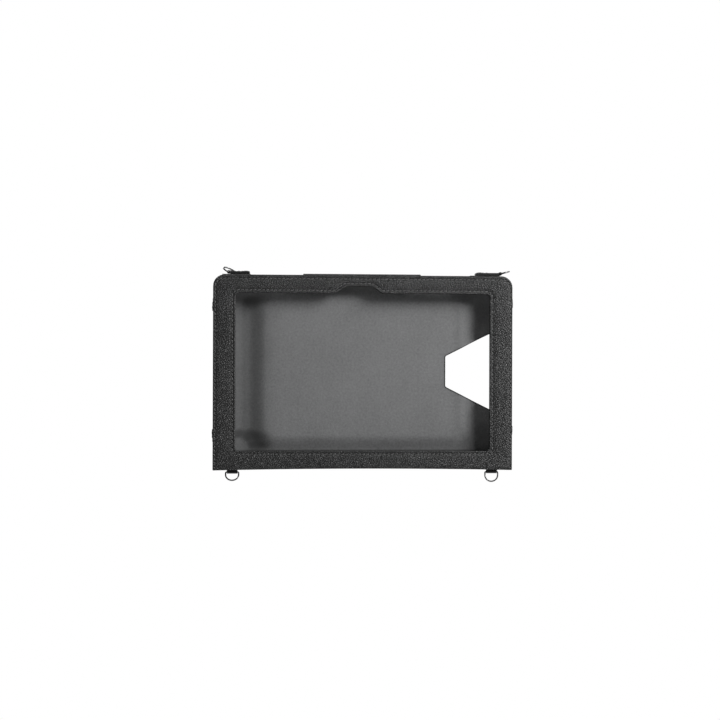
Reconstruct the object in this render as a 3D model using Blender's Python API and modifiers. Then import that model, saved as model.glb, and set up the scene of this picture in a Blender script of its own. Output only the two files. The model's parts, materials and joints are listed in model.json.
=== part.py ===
"""Windowed tablet case with four strap rings, as used to carry and show a prompter's tablet.

A leather-covered tray (back panel, corner walls, spine) and a window frame that hinges on the
front edge of the spine. A strip sewn to the frame's top edge closes on the tray's top wall with
hook and loop tape. A ring hangs in a leather loop at each corner.

Frame: origin at the centre of the back panel's outer face, +X right and +Z up as seen from the
front, front towards -Y. Blender units are metres; MM turns millimetres into metres.
"""

import math

import bmesh
import bpy
from mathutils import Euler, Matrix, Vector

MM = 0.001

# ---- Driving dimensions -------------------------------------------------------------------
CASE_WIDTH = 261.4 * MM
CASE_HEIGHT = 169.7 * MM
TOP_CORNER_RADIUS = 10.0 * MM
BOTTOM_BOW = 1.4 * MM  # the fold line rises this much in the middle
WINDOW_WIDTH = 221.6 * MM
WINDOW_SHIFT = -0.4 * MM
WINDOW_RADIUS = 3.0 * MM
TOP_RAIL = 16.1 * MM
BOTTOM_RAIL = 16.7 * MM
NOTCH_CENTRE = -4.3 * MM  # front camera notch in the top rail
NOTCH_BASE = 41.0 * MM
NOTCH_TOP = 22.6 * MM
NOTCH_DEPTH = 6.2 * MM

GAP = 0.3 * MM  # between pieces that touch on the real case
LEATHER = 1.2 * MM
FRAME_LEATHER = 1.0 * MM
LINING = 0.8 * MM
FRAME_DEPTH = 2.8 * MM
FRAME_BOARD = 0.8 * MM
BACK_BOARD = 1.5 * MM
WALL = 1.6 * MM
CASE_DEPTH = 19.6 * MM

CUTOUT_INNER_X = 73.0 * MM  # rear camera cut-out, open at the right edge
CUTOUT_CENTRE_Z = 1.2 * MM
CUTOUT_INNER_HALF = 13.4 * MM
CUTOUT_SLOPE = 0.506  # rise of its two slanting edges per unit of x
CUTOUT_RADIUS = 2.0 * MM

LEFT_WALL_UP = 53.4 * MM  # the side walls stop here, above and below the port openings
LEFT_WALL_LOW = -49.6 * MM
RIGHT_WALL_UP = 57.4 * MM
RIGHT_WALL_LOW = -46.6 * MM
TOP_WALL_LEFT_END = -98.0 * MM
TOP_WALL_RIGHT_END = 93.5 * MM
WALL_FLARE = 0.9 * MM  # free wall ends stand this far outside the frame
FLARE_LENGTH = 14.0 * MM

FLAP_CENTRE = -1.3 * MM
FLAP_WIDTH = 102.8 * MM
FLAP_LEATHER = 0.9 * MM
FLAP_RADIUS = 5.0 * MM
TAPE = 0.8 * MM

RING_WIRE = 0.62 * MM  # radius
RING_HALF_WIDTH = 5.65 * MM  # to the centre of the wire
RING_LEG = 3.0 * MM
RING_CORNER = 1.2 * MM
LOOP_BORE = 0.82 * MM
LOOP_OUTER = 1.52 * MM
LOOP_LENGTH = 9.2 * MM
TAB_WIDTH = 9.6 * MM
TAB_THICK = 2.2 * MM
TAB_BASE = 0.6 * MM
TAB_BASE_WIDTH = 11.0 * MM
RIVET_POST = 1.2 * MM  # radius
RIVET_HOLE = 1.5 * MM
RIVET_HEAD = 2.9 * MM
RIVET_RISE = 0.5 * MM
RIVET_TAIL = 2.4 * MM
RIVET_TAIL_THICK = 0.7 * MM

THREAD = 0.25 * MM  # radius
THREAD_GAP = 0.1 * MM
WINDOW_SEAM = 2.9 * MM  # stitch lines' distance from the edge they follow
EDGE_SEAM = 1.9 * MM
TOP_SEAM = 3.5 * MM

# ---- Places worked out from them ----------------------------------------------------------
HALF_W = CASE_WIDTH / 2
TOP = CASE_HEIGHT / 2
BOTTOM = -CASE_HEIGHT / 2
FRONT = -CASE_DEPTH
FRAME_REAR = FRONT + FRAME_DEPTH
WALL_FRONT = FRAME_REAR + GAP
WALL_REAR = -LEATHER - GAP
BOARD_FRONT = WALL_REAR - BACK_BOARD
TAB_Y = -9.0 * MM  # middle of the case's depth, where the rings hang
WALL_X = HALF_W - 0.2 * MM
WALL_TOP = TOP - 0.2 * MM
WALL_RADIUS = TOP_CORNER_RADIUS - 0.2 * MM

LINING_TOP = 78.8 * MM
LINING_BOTTOM = -80.8 * MM
LINING_HALF_W = 127.4 * MM
LINING_RADIUS = 7.0 * MM
PLATEAU_HALF_W = 86.0 * MM  # the padded middle of the lining
VALLEY_X = 101.0 * MM  # the low line between the padding and the side foam
CREST_X = 116.0 * MM
PLATEAU_RISE = 2.9 * MM
SIDE_RISE = 4.6 * MM
VALLEY_FRONT = BOARD_FRONT - GAP - LINING

TOP_WALL_Z = 82.4 * MM  # outer face of the middle top wall, low enough for the two tapes
TOP_WALL_FRONT = -15.2 * MM
LOOP_TAPE_Z = TOP_WALL_Z + GAP
HOOK_TAPE_Z = LOOP_TAPE_Z + TAPE + GAP
FLAP_Z = TOP + GAP
FLAP_FRONT = FRAME_REAR + 0.2 * MM
FLAP_REAR = -0.8 * MM

TAB_BASE_Z = WALL_TOP + GAP
TAB_Z = TAB_BASE_Z + TAB_BASE + GAP
TOP_LOOP_Z = TAB_Z + LOOP_OUTER
BOTTOM_LOOP_Z = BOTTOM - 2.2 * MM
BOTTOM_TAB_X = 114.0 * MM
UPPER_LEFT_LOOP_X = -115.0 * MM
UPPER_RIGHT_LOOP_X = 120.8 * MM
UPPER_LEFT_SKEW = math.radians(38)  # this ring is twisted in its loop
UPPER_LEFT_LIFT = math.radians(31)
UPPER_RIGHT_LIFT = math.radians(15)
LOWER_LEFT_SWING = math.radians(38)

ARC_STEPS = 5
ROUND_SIDES = 16
BOW_STEPS = 8
PLANES = {  # how a flat outline drawn in XY is turned into place
    "XZ": Euler((math.radians(90), 0, 0)).to_matrix(),
    "XY": Matrix.Identity(3),
}


# ---- Outlines: lists of (point, corner radius) ---------------------------------------------
def offset_path(path, inward, closed=True):
    """The path moved to its left by inward (which is inside a counterclockwise outline)."""
    moved = []
    count = len(path)
    for i, (point, radius) in enumerate(path):
        before = path[i - 1][0] if closed or i > 0 else None
        after = path[(i + 1) % count][0] if closed or i < count - 1 else None
        entry = (point - before).normalized() if before else (after - point).normalized()
        leave = (after - point).normalized() if after else entry
        normal_in = Vector((-entry.y, entry.x))
        normal_out = Vector((-leave.y, leave.x))
        turn = entry.x * leave.y - entry.y * leave.x
        shift = (normal_in + normal_out) * inward / (1 + normal_in.dot(normal_out))
        new_radius = radius - inward if turn > 0 else radius + inward
        moved.append((point + shift, max(new_radius, 0.0) if radius else 0.0))
    return moved


def rounded(path, closed=True, steps=ARC_STEPS):
    """Points along the path, with each corner that has a radius turned into an arc."""
    points = []
    count = len(path)
    for i, (corner, radius) in enumerate(path):
        if radius <= 0 or (not closed and i in (0, count - 1)):
            points.append(corner.copy())
            continue
        entry = (corner - path[i - 1][0]).normalized()
        leave = (path[(i + 1) % count][0] - corner).normalized()
        angle = math.acos(max(-1.0, min(1.0, entry.dot(leave))))
        side = 1 if entry.x * leave.y - entry.y * leave.x > 0 else -1
        tangent = radius * math.tan(angle / 2)
        centre = corner - entry * tangent + Vector((-entry.y, entry.x)) * radius * side
        spoke = corner - entry * tangent - centre
        for k in range(steps + 1):
            turned = spoke.copy()
            turned.rotate(Matrix.Rotation(side * angle * k / steps, 2))
            points.append(centre + turned)
    return points


def corner_list(*corners):
    return [(Vector(c[:2]), c[2] if len(c) > 2 else 0.0) for c in corners]


def bow(x):
    """How far the bowed bottom fold line lies above the bottom corners at x."""
    return BOTTOM_BOW * (1 - (x / HALF_W) ** 2)


def panel_outline():
    """Outer outline of the frame and of the back panel, counterclockwise from the bottom left."""
    path = []
    for k in range(BOW_STEPS + 1):
        x = -HALF_W + CASE_WIDTH * k / BOW_STEPS
        path.append((Vector((x, BOTTOM + bow(x))), 0.0))
    path += corner_list((HALF_W, TOP, TOP_CORNER_RADIUS), (-HALF_W, TOP, TOP_CORNER_RADIUS))
    return path


def window_outline():
    """The window with the camera notch in its upper edge, counterclockwise."""
    left = WINDOW_SHIFT - WINDOW_WIDTH / 2
    right = WINDOW_SHIFT + WINDOW_WIDTH / 2
    low = BOTTOM + BOTTOM_RAIL
    high = TOP - TOP_RAIL
    soft = 4.0 * MM
    return corner_list(
        (left, low, WINDOW_RADIUS),
        (right, low, WINDOW_RADIUS),
        (right, high, WINDOW_RADIUS),
        (NOTCH_CENTRE + NOTCH_BASE / 2, high, soft),
        (NOTCH_CENTRE + NOTCH_TOP / 2, high + NOTCH_DEPTH, soft),
        (NOTCH_CENTRE - NOTCH_TOP / 2, high + NOTCH_DEPTH, soft),
        (NOTCH_CENTRE - NOTCH_BASE / 2, high, soft),
        (left, high, WINDOW_RADIUS),
    )


def cutout_outline(margin=0.0):
    """The rear camera cut-out, run past the panel's right edge, counterclockwise."""
    past = HALF_W + 10 * MM
    outer_half = CUTOUT_INNER_HALF + CUTOUT_SLOPE * (past - CUTOUT_INNER_X)
    path = corner_list(
        (CUTOUT_INNER_X, CUTOUT_CENTRE_Z - CUTOUT_INNER_HALF, CUTOUT_RADIUS),
        (past, CUTOUT_CENTRE_Z - outer_half),
        (past, CUTOUT_CENTRE_Z + outer_half),
        (CUTOUT_INNER_X, CUTOUT_CENTRE_Z + CUTOUT_INNER_HALF, CUTOUT_RADIUS),
    )
    return offset_path(path, -margin)


def wall_path(side, wall_end, top_end):
    """Outer face of an upper corner wall, from its end on the top edge down to its free end."""
    flare = WALL_X + WALL_FLARE
    soft = 12 * MM
    return corner_list(
        (top_end, WALL_TOP),
        (side * WALL_X, WALL_TOP, WALL_RADIUS),
        (side * WALL_X, wall_end + FLARE_LENGTH, soft),
        (side * flare, wall_end + FLARE_LENGTH / 3, soft),
        (side * flare, wall_end),
    )


def lower_wall_path(side, wall_end):
    """Outer face of a lower side wall, from its free end down to the spine."""
    flare = WALL_X + WALL_FLARE
    soft = 12 * MM
    return corner_list(
        (side * flare, wall_end),
        (side * flare, wall_end - FLARE_LENGTH / 3, soft),
        (side * WALL_X, wall_end - FLARE_LENGTH, soft),
        (side * WALL_X, BOTTOM + LEATHER + GAP + 0.1 * MM),
    )


def strip_outline(path, near, far):
    """Closed outline of a strip between two distances from an open path."""
    one_side = rounded(offset_path(path, near, closed=False), closed=False)
    other_side = rounded(offset_path(path, far, closed=False), closed=False)
    return one_side + other_side[::-1]


# ---- Solids --------------------------------------------------------------------------------
def new_material(name, colour, roughness, metallic=0.0):
    material = bpy.data.materials.new(name)
    material.use_nodes = True
    shader = material.node_tree.nodes["Principled BSDF"]
    shader.inputs["Base Color"].default_value = (*colour, 1.0)
    shader.inputs["Roughness"].default_value = roughness
    shader.inputs["Metallic"].default_value = metallic
    return material


def finish_piece(obj, name, material, collection):
    """Names the object, gives it its material and moves it into the case's collection."""
    obj.name = name
    obj.data.name = name
    obj.data.materials.clear()
    obj.data.materials.append(material)
    for held in list(obj.users_collection):
        held.objects.unlink(obj)
    collection.objects.link(obj)
    return obj


def mesh_from_curve(curve_object):
    """Replaces a curve object by the welded mesh of its evaluated shape."""
    graph = bpy.context.evaluated_depsgraph_get()
    mesh = bpy.data.meshes.new_from_object(curve_object.evaluated_get(graph))
    shape = bmesh.new()
    shape.from_mesh(mesh)
    bmesh.ops.remove_doubles(shape, verts=shape.verts, dist=1e-6)
    bmesh.ops.recalc_face_normals(shape, faces=shape.faces)
    shape.to_mesh(mesh)
    shape.free()
    made = bpy.data.objects.new(curve_object.name, mesh)
    made.matrix_world = curve_object.matrix_world
    bpy.context.scene.collection.objects.link(made)
    bpy.data.objects.remove(curve_object)
    return made


def plate(outlines, plane, low, high):
    """A flat piece: the first outline is its edge and the rest are holes, between low and high."""
    curve = bpy.data.curves.new("plate", "CURVE")
    curve.dimensions = "2D"
    curve.fill_mode = "BOTH"
    curve.extrude = (high - low) / 2
    for outline in outlines:
        spline = curve.splines.new("POLY")
        spline.points.add(len(outline) - 1)
        for point, (x, y) in zip(spline.points, outline):
            point.co = (x, y, 0, 1)
        spline.use_cyclic_u = True
    flat = bpy.data.objects.new("plate", curve)
    bpy.context.scene.collection.objects.link(flat)
    middle = (low + high) / 2
    offset = Vector((0, middle, 0)) if plane == "XZ" else Vector((0, 0, middle))
    flat.matrix_world = Matrix.Translation(offset) @ PLANES[plane].to_4x4()
    bpy.context.view_layer.update()
    return mesh_from_curve(flat)


def box(low, high):
    bpy.ops.mesh.primitive_cube_add(size=1, location=(Vector(low) + Vector(high)) / 2)
    made = bpy.context.object
    made.scale = Vector(high) - Vector(low)
    bpy.ops.object.transform_apply(location=False, rotation=False, scale=True)
    return made


def rod(centre, axis, radius, length):
    """A cylinder about axis, centred on centre."""
    bpy.ops.mesh.primitive_cylinder_add(
        vertices=ROUND_SIDES, radius=radius, depth=length, location=centre
    )
    made = bpy.context.object
    made.rotation_mode = "QUATERNION"
    made.rotation_quaternion = Vector((0, 0, 1)).rotation_difference(Vector(axis))
    return made


def bevel(obj, width, segments=2, limit=35):
    modifier = obj.modifiers.new("soft_edges", "BEVEL")
    modifier.width = width
    modifier.segments = segments
    modifier.limit_method = "ANGLE"
    modifier.angle_limit = math.radians(limit)
    return obj


def combine(obj, other, operation, helpers):
    """Adds or cuts with another object, which is kept as a hidden helper."""
    modifier = obj.modifiers.new(operation.lower(), "BOOLEAN")
    modifier.operation = operation
    modifier.object = other
    modifier.solver = "EXACT"
    other.hide_render = True
    other.display_type = "WIRE"
    for held in list(other.users_collection):
        held.objects.unlink(other)
    helpers.objects.link(other)
    return obj


def smooth_step(value, start, end):
    """0 before start, 1 after end, smooth in between; start may be the larger of the two."""
    t = max(0.0, min(1.0, (value - start) / (end - start)))
    return t * t * (3 - 2 * t)


def lining_front(x, z):
    """Front surface of the tray's lining: a padded middle, a low line, and padded sides."""
    across = abs(x)
    middle = smooth_step(across, VALLEY_X, PLATEAU_HALF_W)
    middle *= smooth_step(abs(z), 76 * MM, 60 * MM)
    sides = smooth_step(across, VALLEY_X, CREST_X)
    sides *= smooth_step(across, LINING_HALF_W + 2 * MM, CREST_X + 3 * MM)
    return VALLEY_FRONT - PLATEAU_RISE * middle - SIDE_RISE * sides


# ---- The case's pieces ---------------------------------------------------------------------
def build_front_frame(looks, case, helpers):
    """The hinged window frame: a leather channel over a board, closed by a suede lining."""
    outer, window = panel_outline(), window_outline()
    cover = plate([rounded(outer), rounded(window)], "XZ", FRONT, FRAME_REAR)
    bevel(cover, 0.7 * MM)
    pocket_outer = rounded(offset_path(outer, FRAME_LEATHER))
    pocket_inner = rounded(offset_path(window, -FRAME_LEATHER))
    pocket = plate(
        [pocket_outer, pocket_inner], "XZ", FRONT + FRAME_LEATHER, FRAME_REAR + 1 * MM
    )
    combine(cover, pocket, "DIFFERENCE", helpers)
    finish_piece(cover, "front_cover", looks["leather"], case)

    inset = FRAME_LEATHER + GAP
    board_front = FRONT + FRAME_LEATHER + 0.2 * MM
    layer = [rounded(offset_path(outer, inset)), rounded(offset_path(window, -inset))]
    board = plate(layer, "XZ", board_front, board_front + FRAME_BOARD)
    finish_piece(board, "front_board", looks["board"], case)
    lining = plate(layer, "XZ", board_front + FRAME_BOARD + 0.2 * MM, FRAME_REAR)
    finish_piece(lining, "front_lining", looks["suede"], case)


def build_back_panel(looks, case, helpers):
    """The tray's back: leather outside, a board, foam in the middle and at the sides, lining."""
    outer = panel_outline()
    cover = plate([rounded(outer)], "XZ", -LEATHER, 0)
    opening = plate([rounded(cutout_outline())], "XZ", -LEATHER - 2 * MM, 2 * MM)
    combine(cover, opening, "DIFFERENCE", helpers)
    bevel(cover, 0.4 * MM)
    finish_piece(cover, "back_cover", looks["leather"], case)

    board = plate([rounded(offset_path(outer, 5.6 * MM))], "XZ", BOARD_FRONT, WALL_REAR)
    wider = plate([rounded(cutout_outline(1.5 * MM))], "XZ", BOARD_FRONT - 2 * MM, 2 * MM)
    combine(board, wider, "DIFFERENCE", helpers)
    finish_piece(board, "back_board", looks["board"], case)

    foam_front = VALLEY_FRONT + LINING + GAP - PLATEAU_RISE
    foam = box((-84 * MM, foam_front, -58 * MM), (68 * MM, BOARD_FRONT - GAP, 58 * MM))
    bevel(foam, 1.5 * MM)
    finish_piece(foam, "back_foam", looks["foam"], case)

    build_lining(looks, case, helpers)
    low_cut = CUTOUT_CENTRE_Z - CUTOUT_INNER_HALF
    low_cut -= CUTOUT_SLOPE * (LINING_HALF_W - CUTOUT_INNER_X)
    high_cut = 2 * CUTOUT_CENTRE_Z - low_cut
    edge = 2 * MM
    for name, side, low, high in (
        ("left_side_foam", -1, LINING_BOTTOM + edge, LINING_TOP - edge),
        ("lower_right_side_foam", 1, LINING_BOTTOM + edge, low_cut - edge),
        ("upper_right_side_foam", 1, high_cut + edge, LINING_TOP - edge),
    ):
        foam = plate([side_foam_outline(side)], "XY", low, high)
        finish_piece(foam, name, looks["foam"], case)


def side_foam_outline(side):
    """Cross-section of the foam under one side of the lining, in X and Y, counterclockwise."""
    back = BOARD_FRONT - GAP
    start = VALLEY_X + 7 * MM
    end = LINING_HALF_W - 3 * MM
    steps = 8
    front = []
    for k in range(steps + 1):
        x = start + (end - start) * k / steps
        front.append(Vector((side * x, lining_front(x, 0) + LINING + 2 * GAP)))
    outline = [Vector((side * start, back))] + front + [Vector((side * end, back))]
    return outline if side > 0 else outline[::-1]


def lining_top(x):
    """Height of the lining's upper edge, which rounds off at the corners."""
    past = max(0.0, abs(x) - LINING_HALF_W + LINING_RADIUS)
    return LINING_TOP - LINING_RADIUS + math.sqrt(LINING_RADIUS**2 - past**2)


def build_lining(looks, case, helpers):
    """The tray's suede lining: a thin shell over the padding, cut for the rear camera."""
    columns, rows = 52, 14
    shape = bmesh.new()
    grid = []
    for i in range(columns + 1):
        x = LINING_HALF_W * (2 * i / columns - 1)
        column = []
        for k in range(rows + 1):
            z = LINING_BOTTOM + (lining_top(x) - LINING_BOTTOM) * k / rows
            column.append(shape.verts.new((x, lining_front(x, z), z)))
        grid.append(column)
    for i in range(columns):
        for k in range(rows):
            shape.faces.new((grid[i][k], grid[i + 1][k], grid[i + 1][k + 1], grid[i][k + 1]))
    mesh = bpy.data.meshes.new("back_lining")
    shape.to_mesh(mesh)
    shape.free()
    lining = bpy.data.objects.new("back_lining", mesh)
    bpy.context.scene.collection.objects.link(lining)
    shell = lining.modifiers.new("thickness", "SOLIDIFY")
    shell.thickness = LINING
    shell.offset = -1
    opening = plate([rounded(cutout_outline())], "XZ", -CASE_DEPTH, 0)
    combine(lining, opening, "DIFFERENCE", helpers)
    finish_piece(lining, "back_lining", looks["suede"], case)


def build_walls(looks, case):
    """Corner walls, the middle top wall and the spine, each with its own lining."""
    inner = WALL + GAP
    walls = {
        "upper_left_wall": (wall_path(-1, LEFT_WALL_UP, TOP_WALL_LEFT_END), 1),
        "upper_right_wall": (wall_path(1, RIGHT_WALL_UP, TOP_WALL_RIGHT_END), -1),
        "lower_left_wall": (lower_wall_path(-1, LEFT_WALL_LOW), 1),
        "lower_right_wall": (lower_wall_path(1, RIGHT_WALL_LOW), -1),
    }
    for name, (path, turn) in walls.items():
        outline = strip_outline(path, 0, turn * WALL)
        wall = plate([outline], "XZ", WALL_FRONT, WALL_REAR)
        finish_piece(wall, name, looks["leather"], case)
        if name.startswith("lower"):
            path[-1][0].y += LINING + GAP
        outline = strip_outline(path, turn * inner, turn * (inner + LINING))
        lining = plate([outline], "XZ", WALL_FRONT, WALL_REAR)
        finish_piece(lining, name + "_lining", looks["suede"], case)

    left = FLAP_CENTRE - FLAP_WIDTH / 2 - 1 * MM
    right = FLAP_CENTRE + FLAP_WIDTH / 2 + 1 * MM
    wall = box((left, TOP_WALL_FRONT, TOP_WALL_Z - WALL), (right, WALL_REAR, TOP_WALL_Z))
    finish_piece(wall, "top_wall", looks["leather"], case)
    lining_top = TOP_WALL_Z - WALL - GAP
    lining = box((left, TOP_WALL_FRONT, lining_top - LINING), (right, WALL_REAR, lining_top))
    finish_piece(lining, "top_wall_lining", looks["suede"], case)

    spine = plate([spine_outline(0, LEATHER, HALF_W)], "XZ", WALL_FRONT, WALL_REAR)
    finish_piece(spine, "spine", looks["leather"], case)
    start = LEATHER + GAP
    outline = spine_outline(start, start + LINING, WALL_X - WALL - GAP)
    lining = plate([outline], "XZ", WALL_FRONT, WALL_REAR)
    finish_piece(lining, "spine_lining", looks["suede"], case)


def spine_outline(low, high, half_width):
    """A strip that follows the bowed bottom edge, between two heights above it."""
    under, over = [], []
    for k in range(BOW_STEPS + 1):
        x = half_width * (2 * k / BOW_STEPS - 1)
        under.append(Vector((x, BOTTOM + bow(x) + low)))
        over.append(Vector((x, BOTTOM + bow(x) + high)))
    return under + over[::-1]


def build_closure(looks, case):
    """The closing strip, its anchor on the frame, and the hook and loop tapes."""
    left = FLAP_CENTRE - FLAP_WIDTH / 2
    right = FLAP_CENTRE + FLAP_WIDTH / 2
    anchor = box(
        (left, FRAME_REAR + GAP, TOP - 8.0 * MM), (right, FRAME_REAR + 1.3 * MM, TOP - 0.1 * MM)
    )
    finish_piece(anchor, "flap_anchor", looks["leather"], case)
    outline = corner_list(
        (left, FLAP_FRONT),
        (right, FLAP_FRONT),
        (right, FLAP_REAR, FLAP_RADIUS),
        (left, FLAP_REAR, FLAP_RADIUS),
    )
    flap = plate([rounded(outline)], "XY", FLAP_Z, FLAP_Z + FLAP_LEATHER)
    bevel(flap, 0.35 * MM)
    finish_piece(flap, "closure_flap", looks["leather"], case)

    tape_left, tape_right = left + 4 * MM, right - 4 * MM
    tape_front, tape_rear = -13.5 * MM, -4.0 * MM
    hook = box(
        (tape_left, tape_front, HOOK_TAPE_Z), (tape_right, tape_rear, HOOK_TAPE_Z + TAPE)
    )
    finish_piece(hook, "hook_tape", looks["tape"], case)
    loop = box(
        (tape_left, tape_front, LOOP_TAPE_Z), (tape_right, tape_rear, LOOP_TAPE_Z + TAPE)
    )
    finish_piece(loop, "loop_tape", looks["tape"], case)


def strap_outline(centre, axis, sewn_x):
    """A strap from its loop, which may be twisted, to its straight sewn end."""
    loop_end = Vector((axis.x, axis.y)) * LOOP_LENGTH / 2
    loop = Vector((centre.x, centre.y))
    return [
        loop - loop_end,
        Vector((sewn_x, TAB_Y - TAB_WIDTH / 2)),
        Vector((sewn_x, TAB_Y + TAB_WIDTH / 2)),
        loop + loop_end,
    ]


def build_tab(name, strap, centre, axis, looks, case, helpers):
    """A leather tab: a strap joined to a loop that is bored for the ring's bar."""
    loop = rod(centre, axis, LOOP_OUTER, LOOP_LENGTH)
    combine(strap, loop, "UNION", helpers)
    bore = rod(centre, axis, LOOP_BORE, LOOP_LENGTH * 3)
    combine(strap, bore, "DIFFERENCE", helpers)
    return finish_piece(strap, name, looks["leather"], case)


def build_ring(name, centre, axis, outward, looks, case):
    """A D-ring of round wire, its straight bar along axis and its bow towards outward."""
    path = corner_list(
        (-RING_HALF_WIDTH, 0, RING_CORNER),
        (RING_HALF_WIDTH, 0, RING_CORNER),
    )
    arc_steps = 12
    for k in range(arc_steps + 1):
        angle = math.pi * k / arc_steps
        x = RING_HALF_WIDTH * math.cos(angle)
        path.append((Vector((x, RING_LEG + RING_HALF_WIDTH * math.sin(angle))), 0.0))
    curve = bpy.data.curves.new(name, "CURVE")
    curve.dimensions = "3D"
    curve.bevel_depth = RING_WIRE
    curve.bevel_resolution = 2
    points = rounded(path, steps=3)
    spline = curve.splines.new("POLY")
    spline.points.add(len(points) - 1)
    for point, (x, y) in zip(spline.points, points):
        point.co = (x, y, 0, 1)
    spline.use_cyclic_u = True
    ring = bpy.data.objects.new(name, curve)
    bpy.context.scene.collection.objects.link(ring)
    side = Vector(axis).normalized()
    out = Vector(outward).normalized()
    turn = Matrix((side, out, side.cross(out))).transposed()
    ring.matrix_world = Matrix.Translation(centre) @ turn.to_4x4()
    return finish_piece(ring, name, looks["metal"], case)


def build_strap_points(looks, case, helpers):
    """The four tabs and their rings: two on the top walls, two under the spine."""
    half_base, half_tab = TAB_BASE_WIDTH / 2, TAB_WIDTH / 2
    top_tabs = (
        # name, base from and to, strap's sewn end, rivet, loop x, twist and lift of the ring
        ("upper_left", -123.0, -98.2, -99.2, -103.0, UPPER_LEFT_LOOP_X, UPPER_LEFT_SKEW,
         UPPER_LEFT_LIFT),
        ("upper_right", 93.7, 120.0, 99.2, 103.0, UPPER_RIGHT_LOOP_X, 0.0,
         UPPER_RIGHT_LIFT),
    )
    for name, base_a, base_b, strap_end, rivet_x, loop_x, skew, lift in top_tabs:
        base = box(
            (base_a * MM, TAB_Y - half_base, TAB_BASE_Z),
            (base_b * MM, TAB_Y + half_base, TAB_BASE_Z + TAB_BASE),
        )
        bevel(base, 0.4 * MM)
        finish_piece(base, name + "_tab_base", looks["leather"], case)
        side = -1 if loop_x < 0 else 1
        centre = Vector((loop_x, TAB_Y, TOP_LOOP_Z))
        axis = Vector((math.sin(skew), math.cos(skew), 0))
        outline = strap_outline(centre, axis, strap_end * MM)
        strap = plate([outline], "XY", TAB_Z, TAB_Z + TAB_THICK)
        bevel(strap, 0.4 * MM)
        tab = build_tab(name + "_tab", strap, centre, axis, looks, case, helpers)
        wall = case.objects[name + "_wall"]
        layers = (tab, base, wall, case.objects[name + "_wall_lining"])
        build_rivet(name + "_rivet", rivet_x * MM, layers, looks, case, helpers)
        level = Vector((side * math.cos(skew), math.sin(skew), 0))
        outward = level * math.cos(lift) + Vector((0, 0, math.sin(lift)))
        build_ring(name + "_ring", centre, axis, outward, looks, case)

    for name, x, swing in (
        ("lower_left", -BOTTOM_TAB_X, LOWER_LEFT_SWING),
        ("lower_right", BOTTOM_TAB_X, 0.0),
    ):
        strap = box(
            (x - LOOP_LENGTH / 2, TAB_Y - half_tab, BOTTOM - 0.9 * MM),
            (x + LOOP_LENGTH / 2, TAB_Y + half_tab, BOTTOM - 0.1 * MM),
        )
        centre = Vector((x, TAB_Y, BOTTOM_LOOP_Z))
        axis = Vector((1, 0, 0))
        build_tab(name + "_tab", strap, centre, axis, looks, case, helpers)
        outward = Vector((0, -math.sin(swing), -math.cos(swing)))
        build_ring(name + "_ring", centre, axis, outward, looks, case)


def build_thread(name, path, closed, y, looks, case):
    """One seam's thread, as a plain round cord along its stitch line."""
    curve = bpy.data.curves.new(name, "CURVE")
    curve.dimensions = "3D"
    curve.bevel_depth = THREAD
    curve.bevel_resolution = 1
    curve.use_fill_caps = True
    points = rounded(path, closed=closed, steps=3)
    spline = curve.splines.new("POLY")
    spline.points.add(len(points) - 1)
    for point, (x, z) in zip(spline.points, points):
        point.co = (x, y, z, 1)
    spline.use_cyclic_u = closed
    thread = bpy.data.objects.new(name, curve)
    bpy.context.scene.collection.objects.link(thread)
    return finish_piece(thread, name, looks["thread"], case)


def build_rivet(name, x, layers, looks, case, helpers):
    """A rivet down through the tab, its base and the wall, which get a hole each."""
    for layer in layers:
        hole = rod(Vector((x, TAB_Y, TAB_Z)), Vector((0, 0, 1)), RIVET_HOLE, 30 * MM)
        combine(layer, hole, "DIFFERENCE", helpers)
    seat = TAB_Z + TAB_THICK + GAP / 2
    tail = WALL_TOP - WALL - GAP - LINING - GAP / 2
    profile = [
        (0, seat + RIVET_RISE),
        (RIVET_HEAD * 0.5, seat + RIVET_RISE * 0.9),
        (RIVET_HEAD * 0.85, seat + RIVET_RISE * 0.55),
        (RIVET_HEAD, seat),
        (RIVET_POST, seat),
        (RIVET_POST, tail),
        (RIVET_TAIL, tail),
        (RIVET_TAIL, tail - RIVET_TAIL_THICK),
        (0, tail - RIVET_TAIL_THICK),
    ]
    mesh = bpy.data.meshes.new(name)
    edges = [(i, i + 1) for i in range(len(profile) - 1)]
    mesh.from_pydata([(r, 0, z) for r, z in profile], edges, [])
    rivet = bpy.data.objects.new(name, mesh)
    bpy.context.scene.collection.objects.link(rivet)
    rivet.location = (x, TAB_Y, 0)
    turned = rivet.modifiers.new("turned", "SCREW")
    turned.steps = ROUND_SIDES
    turned.render_steps = ROUND_SIDES
    turned.use_merge_vertices = True
    turned.merge_threshold = 0.00001
    turned.use_smooth_shade = False
    return finish_piece(rivet, name, looks["metal"], case)


def build_threads(looks, case):
    """The seams round the window and along the frame's three free edges."""
    proud = THREAD + THREAD_GAP
    window = offset_path(window_outline(), -WINDOW_SEAM)
    build_thread("window_thread", window, True, FRONT - proud, looks, case)
    low = BOTTOM + 4 * MM
    edge = corner_list(
        (HALF_W - EDGE_SEAM, low),
        (HALF_W - EDGE_SEAM, TOP - TOP_SEAM, TOP_CORNER_RADIUS - EDGE_SEAM),
        (-HALF_W + EDGE_SEAM, TOP - TOP_SEAM, TOP_CORNER_RADIUS - EDGE_SEAM),
        (-HALF_W + EDGE_SEAM, low),
    )
    build_thread("frame_edge_thread", edge, False, FRONT - proud, looks, case)


def clear_scene():
    for obj in list(bpy.data.objects):
        bpy.data.objects.remove(obj)


def new_collection(name):
    made = bpy.data.collections.new(name)
    bpy.context.scene.collection.children.link(made)
    return made


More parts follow.
